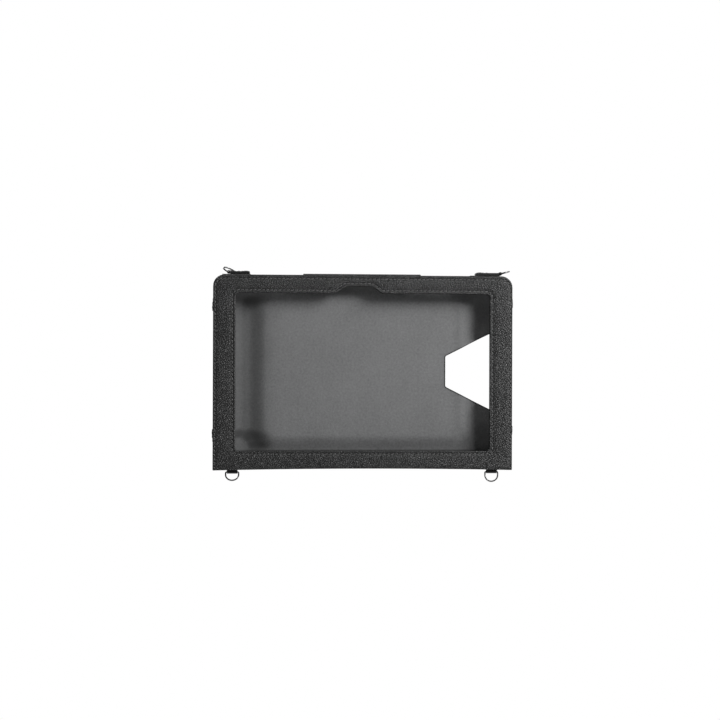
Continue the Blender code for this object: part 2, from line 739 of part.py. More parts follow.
def main():
    clear_scene()
    case = new_collection("tablet_case")
    helpers = new_collection("cutters")
    looks = {
        "leather": new_material("leather", (0.038, 0.038, 0.040), 0.55),
        "suede": new_material("suede", (0.15, 0.15, 0.153), 0.95),
        "board": new_material("board", (0.23, 0.21, 0.18), 0.85),
        "foam": new_material("foam", (0.06, 0.06, 0.06), 0.9),
        "tape": new_material("tape", (0.02, 0.02, 0.022), 0.9),
        "metal": new_material("metal", (0.22, 0.22, 0.23), 0.28, 1.0),
        "thread": new_material("thread", (0.07, 0.07, 0.072), 0.7),
    }
    build_front_frame(looks, case, helpers)
    build_back_panel(looks, case, helpers)
    build_walls(looks, case)
    build_closure(looks, case)
    build_strap_points(looks, case, helpers)
    build_threads(looks, case)


main()
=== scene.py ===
"""Looks of the windowed tablet case: pebbled leather, stitching, suede lining and metal rings.

Everything is in metres in the CAD's frame: +X right and +Z up as seen from the front, front
towards -Y. MM turns millimetres into metres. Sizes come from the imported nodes' boxes and joints.
"""

import json
import math

import bmesh
import bpy
import numpy as np
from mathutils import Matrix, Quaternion, Vector, noise


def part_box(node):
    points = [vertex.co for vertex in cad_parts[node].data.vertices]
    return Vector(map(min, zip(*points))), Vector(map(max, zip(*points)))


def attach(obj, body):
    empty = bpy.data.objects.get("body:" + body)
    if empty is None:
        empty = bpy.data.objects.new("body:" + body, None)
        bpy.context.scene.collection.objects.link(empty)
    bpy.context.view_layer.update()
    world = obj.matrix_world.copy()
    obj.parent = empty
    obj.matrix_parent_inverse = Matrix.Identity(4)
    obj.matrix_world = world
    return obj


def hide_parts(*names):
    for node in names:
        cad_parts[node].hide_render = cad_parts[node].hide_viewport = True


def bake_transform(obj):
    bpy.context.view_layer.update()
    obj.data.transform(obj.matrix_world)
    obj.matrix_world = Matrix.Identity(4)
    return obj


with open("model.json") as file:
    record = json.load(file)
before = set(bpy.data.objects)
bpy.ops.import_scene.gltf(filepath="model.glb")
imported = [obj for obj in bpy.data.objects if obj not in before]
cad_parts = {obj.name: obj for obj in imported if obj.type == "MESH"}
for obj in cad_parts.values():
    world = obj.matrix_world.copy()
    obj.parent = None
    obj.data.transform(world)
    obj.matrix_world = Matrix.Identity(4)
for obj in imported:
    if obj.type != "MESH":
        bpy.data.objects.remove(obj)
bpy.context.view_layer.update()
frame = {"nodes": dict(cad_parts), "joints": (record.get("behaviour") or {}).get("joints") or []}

MM = 0.001

# ---- Sizes taken from the frame -------------------------------------------------------------
frame_low, frame_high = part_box("front_cover")
back_low, back_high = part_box("back_cover")
flap_low, flap_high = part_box("closure_flap")
spine_low, spine_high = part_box("spine")
HALF_W = frame_high.x
TOP, BOTTOM = frame_high.z, frame_low.z
FRONT, FRAME_REAR = frame_low.y, frame_high.y
BACK_FRONT, BACK = back_low.y, back_high.y
WALL_FRONT, WALL_REAR = spine_low.y, spine_high.y
JOINTS = {joint["child"]: joint for joint in frame["joints"]}
PLACES = ("upper_left", "upper_right", "lower_left", "lower_right")

# ---- Sizes of the details -------------------------------------------------------------------
TOP_RADIUS = 10.0 * MM
BOTTOM_RADIUS = 0.8 * MM
BOTTOM_BOW = 1.4 * MM
WINDOW_LEFT, WINDOW_RIGHT = -111.2 * MM, 110.4 * MM
WINDOW_LOW, WINDOW_HIGH = BOTTOM + 16.7 * MM, TOP - 16.1 * MM
WINDOW_RADIUS = 3.0 * MM
NOTCH_X = -4.3 * MM
NOTCH_BASE, NOTCH_TOP, NOTCH_DEPTH = 41.0 * MM, 22.6 * MM, 6.2 * MM
NOTCH_SOFT = 4.0 * MM
CUTOUT_X, CUTOUT_Z = 73.0 * MM, 1.2 * MM
CUTOUT_HALF, CUTOUT_SLOPE, CUTOUT_RADIUS = 13.4 * MM, 0.506, 2.0 * MM
CUTOUT_MOUTH = 1.5 * MM  # radius where the cut-out meets the back's right edge

WINDOW_SEAM = 2.7 * MM
SIDE_SEAM = 1.9 * MM
TOP_SEAM = 3.4 * MM
SEAM_END = 4.0 * MM  # above the bottom edge
SEAM_RADIUS = TOP_RADIUS - 2.5 * MM
SEAM_STEP = 0.7 * MM  # between the points of a seam's line
STITCH_PITCH = 3.6 * MM
STITCH_LENGTH = 3.0 * MM
STITCH_SLANT = math.radians(9)
THREAD_RADIUS = 0.24 * MM

SPACING = 1.5 * MM  # between the points of an outline
ARC_STEPS = 8
TINY = 0.02 * MM  # smallest radius that an offset leaves
SHARP_ANGLE = 40.0


# ---- Outlines -------------------------------------------------------------------------------
def unit(vector):
    return vector / np.linalg.norm(vector)


def offset_corners(corners, inward):
    """(x, z, radius) corners of a closed counterclockwise outline, moved inward."""
    moved = []
    count = len(corners)
    for i, (x, z, radius) in enumerate(corners):
        here = np.array([x, z])
        entry = unit(here - np.array(corners[i - 1][:2]))
        leave = unit(np.array(corners[(i + 1) % count][:2]) - here)
        normals = np.array([-entry[1] - leave[1], entry[0] + leave[0]])
        turn = entry[0] * leave[1] - entry[1] * leave[0]
        place = here + normals * inward / (1 + entry @ leave)
        if radius:
            radius = max(radius - inward if turn > 0 else radius + inward, TINY)
        moved.append((place[0], place[1], radius))
    return moved


def arcs(corners):
    """For each corner, the points of its arc, or the corner itself if it has no radius."""
    made = []
    count = len(corners)
    for i, (x, z, radius) in enumerate(corners):
        corner = np.array([x, z])
        if not radius:
            made.append([corner])
            continue
        entry = unit(corner - np.array(corners[i - 1][:2]))
        leave = unit(np.array(corners[(i + 1) % count][:2]) - corner)
        angle = math.acos(max(-1.0, min(1.0, entry @ leave)))
        side = 1 if entry[0] * leave[1] - entry[1] * leave[0] > 0 else -1
        start = corner - entry * radius * math.tan(angle / 2)
        normal = np.array([-entry[1], entry[0]]) * side
        points = []
        for k in range(ARC_STEPS + 1):
            a = angle * k / ARC_STEPS
            points.append(start + entry * radius * math.sin(a) + normal * radius * (1 - math.cos(a)))
        made.append(points)
    return made


def trace(corners, inward=0.0, spacing=SPACING, closed=True):
    """Points along an outline. Their number doesn't depend on inward, so rows can be joined."""
    base = arcs(corners)
    now = arcs(offset_corners(corners, inward)) if inward else base
    count = len(corners)
    points = []
    for i in range(count):
        points += now[i]
        if not closed and i == count - 1:
            break
        length = np.linalg.norm(base[(i + 1) % count][0] - base[i][-1])
        steps = max(1, round(length / spacing))
        start, end = now[i][-1], now[(i + 1) % count][0]
        points += [start + (end - start) * k / steps for k in range(1, steps)]
    return np.array(points)


PANEL = [
    (-HALF_W, BOTTOM, BOTTOM_RADIUS),
    (HALF_W, BOTTOM, BOTTOM_RADIUS),
    (HALF_W, TOP, TOP_RADIUS),
    (-HALF_W, TOP, TOP_RADIUS),
]
NOTCH_Z = WINDOW_HIGH + NOTCH_DEPTH
WINDOW = [
    (WINDOW_LEFT, WINDOW_LOW, WINDOW_RADIUS),
    (WINDOW_RIGHT, WINDOW_LOW, WINDOW_RADIUS),
    (WINDOW_RIGHT, WINDOW_HIGH, WINDOW_RADIUS),
    (NOTCH_X + NOTCH_BASE / 2, WINDOW_HIGH, NOTCH_SOFT),
    (NOTCH_X + NOTCH_TOP / 2, NOTCH_Z, NOTCH_SOFT),
    (NOTCH_X - NOTCH_TOP / 2, NOTCH_Z, NOTCH_SOFT),
    (NOTCH_X - NOTCH_BASE / 2, WINDOW_HIGH, NOTCH_SOFT),
    (WINDOW_LEFT, WINDOW_HIGH, WINDOW_RADIUS),
]
WINDOW_TURNS = (0, 1, 2, 7)  # the window's own corners, in the panel's order
WINDOW_SIDES = (0, 1, 2, 2, 2, 2, 2, 3)  # the panel's side that follows each window corner
EDGE_SEAM = [
    (HALF_W - SIDE_SEAM, BOTTOM + SEAM_END, 0),
    (HALF_W - SIDE_SEAM, TOP - TOP_SEAM, SEAM_RADIUS),
    (-HALF_W + SIDE_SEAM, TOP - TOP_SEAM, SEAM_RADIUS),
    (-HALF_W + SIDE_SEAM, BOTTOM + SEAM_END, 0),
]


def cutout_corners(reach, mouth=0):
    """The rear camera cut-out: its lower corners inwards and at x = reach, then its upper ones."""
    half = CUTOUT_HALF + CUTOUT_SLOPE * (reach - CUTOUT_X)
    return [
        (CUTOUT_X, CUTOUT_Z - CUTOUT_HALF, CUTOUT_RADIUS),
        (reach, CUTOUT_Z - half, mouth),
        (reach, CUTOUT_Z + half, mouth),
        (CUTOUT_X, CUTOUT_Z + CUTOUT_HALF, CUTOUT_RADIUS),
    ]


def back_corners():
    """Outline of the back panel with the cut-out taken from its right edge."""
    low_inner, low_mouth, high_mouth, high_inner = cutout_corners(HALF_W, CUTOUT_MOUTH)
    return PANEL[:2] + [low_mouth, low_inner, high_inner, high_mouth] + PANEL[2:]


def bow(x):
    """How far the bottom edge is lifted at x."""
    return BOTTOM_BOW * (1 - (x / HALF_W) ** 2)


def bowed(points):
    """Lifts the bottom edge by its bow; the lift fades out towards the window."""
    points = np.array(points, float)
    share = np.clip((WINDOW_LOW - points[:, 1]) / (WINDOW_LOW - BOTTOM), 0, 1)
    points[:, 1] += bow(points[:, 0]) * share
    return points


def seam_lines():
    """The seam round the window and the one along the frame's edge, as close points."""
    window_line = trace(WINDOW, -WINDOW_SEAM, SEAM_STEP)
    return window_line, bowed(trace(EDGE_SEAM, spacing=SEAM_STEP, closed=False))


def along_frame():
    """Each point round the window, and the window's arcs.

    A point is (corner, share of its arc, place) or (None, corner before it, place).
    """
    base = arcs(WINDOW)
    partners = []
    count = len(WINDOW)
    for i in range(count):
        for k in range(len(base[i])):
            partners.append((i, k / ARC_STEPS, base[i][k]))
        length = np.linalg.norm(base[(i + 1) % count][0] - base[i][-1])
        steps = max(1, round(length / SPACING))
        for k in range(1, steps):
            point = base[i][-1] + (base[(i + 1) % count][0] - base[i][-1]) * k / steps
            partners.append((None, i, point))
    return partners, base


def panel_partners(partners, base, inward):
    """Points round the panel, moved inward, one for each point round the window."""
    turns = arcs(offset_corners(PANEL, inward)) if inward else arcs(PANEL)
    made = []
    for corner, share, point in partners:
        if corner in WINDOW_TURNS:
            made.append(turns[WINDOW_TURNS.index(corner)][round(share * ARC_STEPS)])
            continue
        side = WINDOW_SIDES[share if corner is None else corner]
        start = base[WINDOW_TURNS[side]][-1]
        end = base[WINDOW_TURNS[(side + 1) % 4]][0]
        axis = 0 if side in (0, 2) else 1
        t = (point[axis] - start[axis]) / (end[axis] - start[axis])
        a, b = turns[side][-1], turns[(side + 1) % 4][0]
        made.append(a + (b - a) * t)
    return np.array(made)


# ---- Materials ------------------------------------------------------------------------------
class Look:
    """A node material under construction."""

    def __init__(self, name):
        self.material = bpy.data.materials.new(name)
        self.material.use_nodes = True
        self.tree = self.material.node_tree
        self.shader = self.tree.nodes["Principled BSDF"]
        self.place = self.add("TexCoord").outputs["Object"]

    def add(self, kind, settings=None, **inputs):
        """A node with its settings and inputs; an input named _0 is the one with that number."""
        node = self.tree.nodes.new("ShaderNode" + kind)
        for key, value in (settings or {}).items():
            setattr(node, key, value)
        for key, value in inputs.items():
            socket = node.inputs[int(key[1:])] if key[0] == "_" else node.inputs[key]
            self.put(socket, value)
        return node

    def put(self, socket, value):
        if isinstance(value, bpy.types.NodeSocket):
            self.tree.links.new(value, socket)
        else:
            socket.default_value = value

    def set(self, name, value):
        self.put(self.shader.inputs[name], value)

    def math(self, operation, a, b=0.0):
        return self.add("Math", {"operation": operation}, _0=a, _1=b).outputs[0]

    def ramp(self, value, low, high, to_low=0.0, to_high=1.0):
        """value from low to high, as to_low to to_high, clamped."""
        made = self.add("MapRange", {"interpolation_type": "SMOOTHSTEP"}, Value=value)
        for name, number in (
            ("From Min", low), ("From Max", high), ("To Min", to_low), ("To Max", to_high)
        ):
            made.inputs[name].default_value = number
        return made.outputs[0]

    def mix(self, share, a, b):
        """Colours a and b mixed: they are the Mix node's inputs 6 and 7, and its output is 2."""
        return self.add("Mix", {"data_type": "RGBA"}, _0=share, _6=a, _7=b).outputs[2]

    def noise(self, scale, detail=2.0, roughness=0.5, stretch=None):
        """Noise with its scale in cycles per metre."""
        where = self.place
        if stretch:
            where = self.add("Mapping", Vector=where, Scale=stretch).outputs[0]
        made = self.add("TexNoise", Vector=where, Scale=scale, Detail=detail, Roughness=roughness)
        return made.outputs["Fac"]

    def cells(self, scale, where=None, smooth=0.35, feature="SMOOTH_F1"):
        made = self.add("TexVoronoi", {"feature": feature}, Vector=where or self.place, Scale=scale)
        if feature == "SMOOTH_F1":
            made.inputs["Smoothness"].default_value = smooth
        return made.outputs["Distance"]

    def bump(self, height, distance, strength=1.0):
        made = self.add("Bump", Height=height, Distance=distance, Strength=strength)
        self.set("Normal", made.outputs[0])


def grey(value, warm=0.0):
    """A linear grey, a little warmer or, below 0, cooler."""
    return (value * (1 + warm), value, value * (1 - warm), 1.0)


def leather_look(name, dark=0.004, light=0.046, depth=0.42 * MM, rough=0.44, scale=700.0):
    """Black pebble-grained leather: rounded cells, fine creases, slow changes in tone."""
    look = Look(name)
    warp = look.add("TexNoise", Vector=look.place, Scale=scale * 0.45, Detail=1.0)
    shift = look.add(
        "VectorMath", {"operation": "SCALE"}, _0=warp.outputs["Color"], Scale=0.5 / scale
    )
    where = look.add("VectorMath", _0=look.place, _1=shift.outputs[0]).outputs[0]
    creased = look.cells(scale, where, feature="DISTANCE_TO_EDGE")
    domes = look.ramp(look.cells(scale, where), 0.0, 0.7, 1.0, 0.0)
    pebbles = look.math("MULTIPLY", look.ramp(creased, 0.0, 0.26), 0.7)
    pebbles = look.math("ADD", pebbles, look.math("MULTIPLY", domes, 0.3))
    creases = look.noise(scale * 3.3, 3.0, 0.6)
    waves = look.noise(60.0, 2.0)
    tone = look.noise(28.0, 3.0, 0.6)
    height = look.math("ADD", pebbles, look.math("MULTIPLY", creases, 0.35))
    height = look.math("ADD", height, look.math("MULTIPLY", waves, 0.8))
    share = look.math("MULTIPLY", pebbles, look.ramp(tone, 0.35, 0.7, 0.6, 1.0))
    look.set("Base Color", look.mix(share, grey(dark), grey(light, -0.01)))
    look.set("Roughness", look.ramp(creases, 0.3, 0.7, rough - 0.07, rough + 0.09))
    look.set("Specular IOR Level", 0.42)
    look.bump(height, depth, 0.85)
    return look.material


def suede_look(name, dark=0.13, light=0.205):
    """Grey microsuede: short nap, cloudy where it has been brushed, darker where shade is painted
    in.
    """
    look = Look(name)
    cool = -0.01
    clouds = look.noise(26.0, 5.0, 0.65)
    brushed = look.noise(150.0, 4.0, 0.7, stretch=(1.0, 1.0, 0.6))
    nap = look.noise(2600.0, 2.0, 0.7)
    fuzz = look.noise(900.0, 3.0, 0.6)
    mottle = look.noise(520.0, 4.0, 0.7)
    share = look.math("ADD", look.math("MULTIPLY", clouds, 0.6), look.math("MULTIPLY", brushed, 0.4))
    share = look.ramp(share, 0.2, 0.8, 0.3, 0.7)
    share = look.math("ADD", share, look.math("MULTIPLY", nap, 0.5))
    share = look.math("ADD", share, look.math("MULTIPLY", mottle, 2.0))
    share = look.math("SUBTRACT", share, 1.25)
    base = look.mix(share, grey(dark, cool), grey(light, cool))
    # Painted shade: where the lining's shade attribute is high, a much darker suede colour takes
    # over from the base colour.
    painted_shade_share = look.add("Attribute", {"attribute_name": "painted_shade"}).outputs["Fac"]
    painted_shade_colour = look.mix(nap, grey(dark * 0.22, cool), grey(light * 0.30, cool))
    look.set("Base Color", look.mix(painted_shade_share, base, painted_shade_colour))
    look.set("Roughness", 0.93)
    look.set("Specular IOR Level", 0.18)
    look.set("Sheen Weight", 0.25)
    look.set("Sheen Roughness", 0.5)
    height = look.math("ADD", nap, look.math("MULTIPLY", fuzz, 0.8))
    look.bump(height, 0.12 * MM, 0.6)
    return look.material


def thread_look(name, value=0.14):
    """Waxed bonded thread, with the lay of its plies."""
    look = Look(name)
    plies = look.add(
        "TexWave", {"bands_direction": "DIAGONAL"}, Vector=look.place, Scale=900.0, Distortion=2.0
    ).outputs["Fac"]
    look.set("Base Color", look.mix(plies, grey(value * 0.55), grey(value * 1.5)))
    look.set("Roughness", look.ramp(plies, 0.0, 1.0, 0.55, 0.4))
    look.bump(plies, 0.06 * MM, 0.8)
    return look.material


def metal_look(name):
    """Gunmetal plating with faint rubbing marks."""
    look = Look(name)
    rub = look.noise(700.0, 4.0, 0.7, stretch=(1.0, 1.0, 6.0))
    stain = look.noise(160.0, 3.0)
    look.set("Base Color", look.mix(look.ramp(stain, 0.35, 0.7), grey(0.10), grey(0.24)))
    look.set("Metallic", 1.0)
    look.set("Roughness", look.ramp(rub, 0.3, 0.75, 0.16, 0.4))
    look.bump(rub, 0.02 * MM, 0.5)
    return look.material


def tape_look(name, hooks):
    """Black hook tape (stiff, regular) or loop tape (fuzzy)."""
    look = Look(name)
    if hooks:
        height = look.ramp(look.cells(1100.0, smooth=0.1), 0.1, 0.5, 1.0, 0.0)
    else:
        height = look.noise(1500.0, 5.0, 0.75)
    look.set("Base Color", look.mix(height, grey(0.008), grey(0.03)))
    look.set("Roughness", look.ramp(height, 0.0, 1.0, 0.95, 0.6))
    look.bump(height, 0.4 * MM, 1.0)
    return look.material


def board_look(name):
    """Grey-brown fibreboard."""
    look = Look(name)
    fibres = look.noise(500.0, 4.0, 0.7, stretch=(1.0, 1.0, 5.0))
    look.set("Base Color", look.mix(fibres, (0.16, 0.14, 0.11, 1), (0.27, 0.25, 0.21, 1)))
    look.set("Roughness", look.ramp(fibres, 0.3, 0.7, 0.92, 0.8))
    look.bump(fibres, 0.1 * MM)
    return look.material


def foam_look(name):
    """Dark closed-cell foam."""
    look = Look(name)
    pores = look.cells(1400.0, smooth=0.2)
    look.set("Base Color", look.mix(look.ramp(pores, 0.1, 0.5), grey(0.03), grey(0.07)))
    look.set("Roughness", look.ramp(pores, 0.1, 0.5, 0.95, 0.85))
    look.bump(pores, 0.2 * MM)
    return look.material


LOOKS = {
    "leather": leather_look("leather"),
    "edge": leather_look("leather_edge", 0.010, 0.024, depth=0.05 * MM, rough=0.32, scale=1500.0),
    "suede": suede_look("suede"),
    "thread": thread_look("thread"),
    # Near-black leather for the needle holes: painted shade for the holes' depth.
    "hole": leather_look("needle_hole", 0.002, 0.004, depth=0.05 * MM, rough=0.8, scale=2500.0),
    "metal": metal_look("metal"),
    "hooks": tape_look("hook_tape", hooks=True),
    "loops": tape_look("loop_tape", hooks=False),
    "board": board_look("board"),
    "foam": foam_look("foam"),
}


# ---- Meshes ---------------------------------------------------------------------------------
def piece(name, verts, faces, look, smooth_angle=SHARP_ANGLE):
    """A new mesh piece with its look."""
    mesh = bpy.data.meshes.new(name)
    mesh.from_pydata([tuple(v) for v in verts], [], faces)
    mesh.validate()
    shape = bmesh.new()
    shape.from_mesh(mesh)
    bmesh.ops.recalc_face_normals(shape, faces=shape.faces)
    shape.to_mesh(mesh)
    shape.free()
    mesh.shade_smooth()
    mesh.set_sharp_from_angle(angle=math.radians(smooth_angle))
    mesh.materials.append(LOOKS[look])
    made = bpy.data.objects.new(name, mesh)
    bpy.context.scene.collection.objects.link(made)
    return made


def rows_faces(rows, columns, wrap_rows=False, wrap_columns=True):
    """Quads between rows of points, each with the same number of columns."""
    faces = []
    for r in range(rows if wrap_rows else rows - 1):
        for c in range(columns if wrap_columns else columns - 1):
            a, b = r * columns, ((r + 1) % rows) * columns
            d = (c + 1) % columns
            faces.append((a + c, a + d, b + d, b + c))
    return faces


def closed_rows(name, rows, look, caps=True):
    """A closed body from rows of 3-D points: a tube if caps is False, which joins end to end."""
    count = len(rows[0])
    faces = rows_faces(len(rows), count, wrap_rows=not caps)
    if caps:
        faces.append(tuple(range(count))[::-1])
        faces.append(tuple(range(count * (len(rows) - 1), count * len(rows))))
    return piece(name, np.concatenate(rows), faces, look)


def along_rows(rows):
    """The same points as rows across the strip that the given rows run along."""
    return list(np.stack(rows, axis=1))


def xz(points, y):
    """2-D outline points as 3-D points at depth y, a number or one for each point."""
    return np.column_stack([points[:, 0], np.broadcast_to(y, len(points)), points[:, 1]])


def xy(points, z):
    """2-D outline points as 3-D points at height z."""
    return np.column_stack([points[:, 0], points[:, 1], np.broadcast_to(z, len(points))])


def directions(points):
    """Unit directions of an open line at each of its points."""
    run = np.gradient(points, axis=0)
    return run / np.linalg.norm(run, axis=1)[:, None]


def nearest(points, line):
    """Distance of each point from a line given as close points."""
    best = np.full(len(points), np.inf)
    chunk = 200
    for start in range(0, len(line), chunk):
        gaps = points[:, None, :] - line[None, start : start + chunk, :]
        best = np.minimum(best, np.sqrt((gaps**2).sum(2)).min(1))
    return best


def smooth_step(values, start, end):
    """0 to 1 as the values go from start to end, eased at both."""
    t = np.clip((np.asarray(values, float) - start) / (end - start), 0, 1)
    return t * t * (3 - 2 * t)


def ripple(points, scale, seed):
    """Slow noise from about -1 to 1 at each 2-D point."""
    return np.array([noise.noise(Vector((x * scale, z * scale, seed))) for x, z in points])


def quarter(radius, steps=4):
    """(inward, depth) of a rounded edge, from the flank to the face."""
    angles = [math.pi / 2 * k / steps for k in range(steps + 1)]
    return [(radius * (1 - math.sin(a)), radius * (1 - math.cos(a))) for a in angles][::-1]


def resample(points, pitch, closed):
    """Points and directions at equal steps along a polyline of 3-D points."""
    if closed:
        points = np.vstack([points, points[:1]])
    lengths = np.concatenate([[0], np.cumsum(np.linalg.norm(np.diff(points, axis=0), axis=1))])

    def at(places):
        return np.column_stack([np.interp(places, lengths, points[:, i]) for i in range(3)])

    count = round(lengths[-1] / pitch)
    places = (np.arange(count) + 0.5) * lengths[-1] / count
    run = at(places + pitch / 4) - at(places - pitch / 4)
    return at(places), run / np.linalg.norm(run, axis=1)[:, None]


# ---- Stitches -------------------------------------------------------------------------------
def stitch_row(name, line, outward, body, closed=True, replaces=()):
    """A row of slightly slanted stitches with a needle hole between each two.

    line lies on the leather, and outward is the direction that the stitches stand up in; if it
    is None, they stand away from the case's middle axis.
    """
    centres, run = resample(np.asarray(line), STITCH_PITCH, closed)
    if outward is None:
        up = np.column_stack([run[:, 2], np.zeros(len(run)), -run[:, 0]])
        up *= np.sign((up * centres).sum(axis=1))[:, None]
    else:
        up = np.broadcast_to(np.array(outward, float), run.shape)
    along = run * math.cos(STITCH_SLANT) + np.cross(up, run) * math.sin(STITCH_SLANT)
    across = np.cross(up, along)
    arch, seat = 0.30 * MM, 0.20 * MM  # rise of a stitch's middle over its ends, and their depth
    taper, unevenness, grain = 0.45, 0.12, 700
    tip_reach, tip_depth = 0.55 * STITCH_LENGTH, 0.35 * MM
    sides, stations = 6, np.linspace(-1, 1, 7)
    verts, faces = [], []
    for i, (centre, ahead, side, high) in enumerate(zip(centres, along, across, up)):
        wobble = 1 + unevenness * noise.noise(Vector(centre) * grain)
        start = i * (len(stations) * sides + 2)
        for t in stations:
            lift = arch * (1 - t * t) - seat
            thick = THREAD_RADIUS * wobble * (1 - taper * t**4)
            spot = centre + ahead * t * STITCH_LENGTH / 2 + high * lift
            for k in range(sides):
                angle = 2 * math.pi * k / sides
                verts.append(spot + (side * math.cos(angle) + high * math.sin(angle)) * thick)
        tail = centre - ahead * tip_reach - high * tip_depth
        nose = centre + ahead * tip_reach - high * tip_depth
        verts += [tail, nose]
        for face in rows_faces(len(stations), sides):
            faces.append(tuple(start + corner for corner in face))
        last = start + (len(stations) - 1) * sides
        first_tip, last_tip = last + sides, last + sides + 1
        for k in range(sides):
            d = (k + 1) % sides
            faces.append((first_tip, start + d, start + k))
            faces.append((last_tip, last + k, last + d))
    stitches = piece(name, verts, faces, "thread", smooth_angle=60)
    if replaces:
        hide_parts(*replaces)
    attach(stitches, body)
    needle_holes(name + "_holes", centres, run, up, body)


def needle_holes(name, centres, run, up, body):
    """Small pits where the thread goes down, halfway between the stitches, in near-black leather
    that paints in the shade of the holes.
    """
    across = np.cross(up, run)
    sides = 8
    half_length, half_width = 0.42 * MM, 0.34 * MM
    rim, crown, pit = 0.02 * MM, 0.05 * MM, 0.15 * MM
    verts, faces = [], []
    for i, (centre, ahead, side, high) in enumerate(zip(centres, run, across, up)):
        middle = centre + ahead * STITCH_PITCH / 2
        start = i * (sides + 2)
        for k in range(sides):
            angle = 2 * math.pi * k / sides
            reach = ahead * math.cos(angle) * half_length + side * math.sin(angle) * half_width
            verts.append(middle + reach + high * rim)
        verts += [middle + high * crown, middle - high * pit]
        for k in range(sides):
            d = (k + 1) % sides
            faces.append((start + k, start + d, start + sides))
            faces.append((start + d, start + k, start + sides + 1))
    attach(piece(name, verts, faces, "hole", smooth_angle=80), body)


# ---- The window frame -----------------------------------------------------------------------
HEM_WINDOW, HEM_EDGE = 3.9 * MM, 4.4 * MM  # from window and edge: the hems' ends
FRAME_BACK = FRAME_REAR - 0.05 * MM
STITCH_DEPTH = 0.40 * MM  # of the front's stitches in their valleys


def front_relief(points):
    """How far the frame's leather lies behind the plane of its front.

    Seam valleys, padding, slow waves, and the turn under along the bottom edge.
    """
    valley_depth, valley_width = 0.55 * MM, 0.95 * MM
    window_line, edge_line = seam_lines()
    to_seam = np.minimum(nearest(points, window_line), nearest(points, edge_line))
    valley = valley_depth * np.exp(-((to_seam / valley_width) ** 2))
    padding = 0.20 * MM * smooth_step(to_seam, 0.6 * MM, 4 * MM)
    waves = 0.05 * MM * ripple(points, 70, 3.1) + 0.03 * MM * ripple(points, 210, 8.4)
    height = points[:, 1] - bow(points[:, 0])
    turned = 0.75 * MM * smooth_step(height, BOTTOM + 3.6 * MM, BOTTOM - 1.5 * MM)
    return valley - padding + waves + turned


def frame_section():
    """Section of the frame's leather, from the window's hem over the front to the edge's hem.

    Each row is its share of the way from window to edge, its distances from the two, its depth,
    and whether it lies on the front, where the relief applies.
    """
    window_rear, window_front = 0.9 * MM, 0.95 * MM  # radii
    edge_front, edge_rear = 1.15 * MM, 0.9 * MM
    flank = 0.6 * MM
    rows = [(0, HEM_WINDOW, 0, FRAME_BACK, False)]
    for inward, deep in quarter(window_rear)[::-1]:
        rows.append((0, inward, 0, FRAME_BACK - deep, False))
    for inward, deep in quarter(window_front):
        rows.append((0, inward, 0, FRONT + deep, inward > flank))
    for inward in (1.4, 1.9, 2.3, 2.6, 2.9, 3.2, 3.5, 3.9):
        rows.append((0, inward * MM, 0, FRONT, True))
    for share in (0.2, 0.4, 0.6, 0.8):
        rows.append((share, HEM_WINDOW, HEM_EDGE, FRONT, True))
    for inward in (4.4, 4.0, 3.7, 3.4, 3.1, 2.7, 2.3, 1.9, 1.5):
        rows.append((1, 0, inward * MM, FRONT, True))
    for inward, deep in quarter(edge_front)[::-1]:
        rows.append((1, 0, inward, FRONT + deep, inward > flank))
    for inward, deep in quarter(edge_rear):
        rows.append((1, 0, inward, FRAME_BACK - deep, False))
    rows.append((1, 0, HEM_EDGE, FRAME_BACK, False))
    return rows


def build_front_frame():
    partners, base = along_frame()
    made = []
    for share, from_window, from_edge, depth, on_front in frame_section():
        inner = trace(WINDOW, -from_window)
        outer = panel_partners(partners, base, from_edge)
        points = bowed(inner * (1 - share) + outer * share)
        y = np.full(len(points), depth)
        if on_front:
            y += front_relief(points)
        made.append(xz(points, y))
    cover = closed_rows("frame_leather", made, "leather", caps=False)
    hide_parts("front_cover")
    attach(cover, "front_frame")
    build_frame_lining(partners, base)
    build_frame_seams()


def build_frame_lining(partners, base):
    """The suede on the frame's inner side, with its rims sunk down over the hems."""
    from_window, from_edge = 3.4 * MM, 3.9 * MM
    rim = ((0.0, -0.6 * MM), (0.0, -0.05 * MM), (0.25 * MM, 0.1 * MM))  # inset and depth
    rows = []
    for inset, depth in rim:
        rows.append(xz(bowed(trace(WINDOW, -from_window - inset)), FRAME_REAR + depth))
    for inset, depth in rim[::-1]:
        outer = panel_partners(partners, base, from_edge + inset)
        rows.append(xz(bowed(outer), FRAME_REAR + depth))
    suede = closed_rows("frame_lining", rows, "suede", caps=False)
    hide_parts("front_lining")
    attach(suede, "front_frame")


def build_frame_seams():
    """The seams round the window and along the edge, seen from the front and from inside."""
    window_line, edge_line = seam_lines()
    seam_y = FRONT + STITCH_DEPTH
    stitch_row(
        "window_stitches", xz(window_line, seam_y), (0, -1, 0), "front_frame",
        replaces=["window_thread"],
    )
    stitch_row(
        "frame_edge_stitches", xz(edge_line, seam_y), (0, -1, 0), "front_frame", False,
        ["frame_edge_thread"],
    )
    inside = {
        "window_stitches_inside": (window_line, True),
        "frame_edge_stitches_inside": (edge_line, False),
    }
    for name, (line, closed) in inside.items():
        stitch_row(name, xz(line, FRAME_BACK), (0, 1, 0), "front_frame", closed)


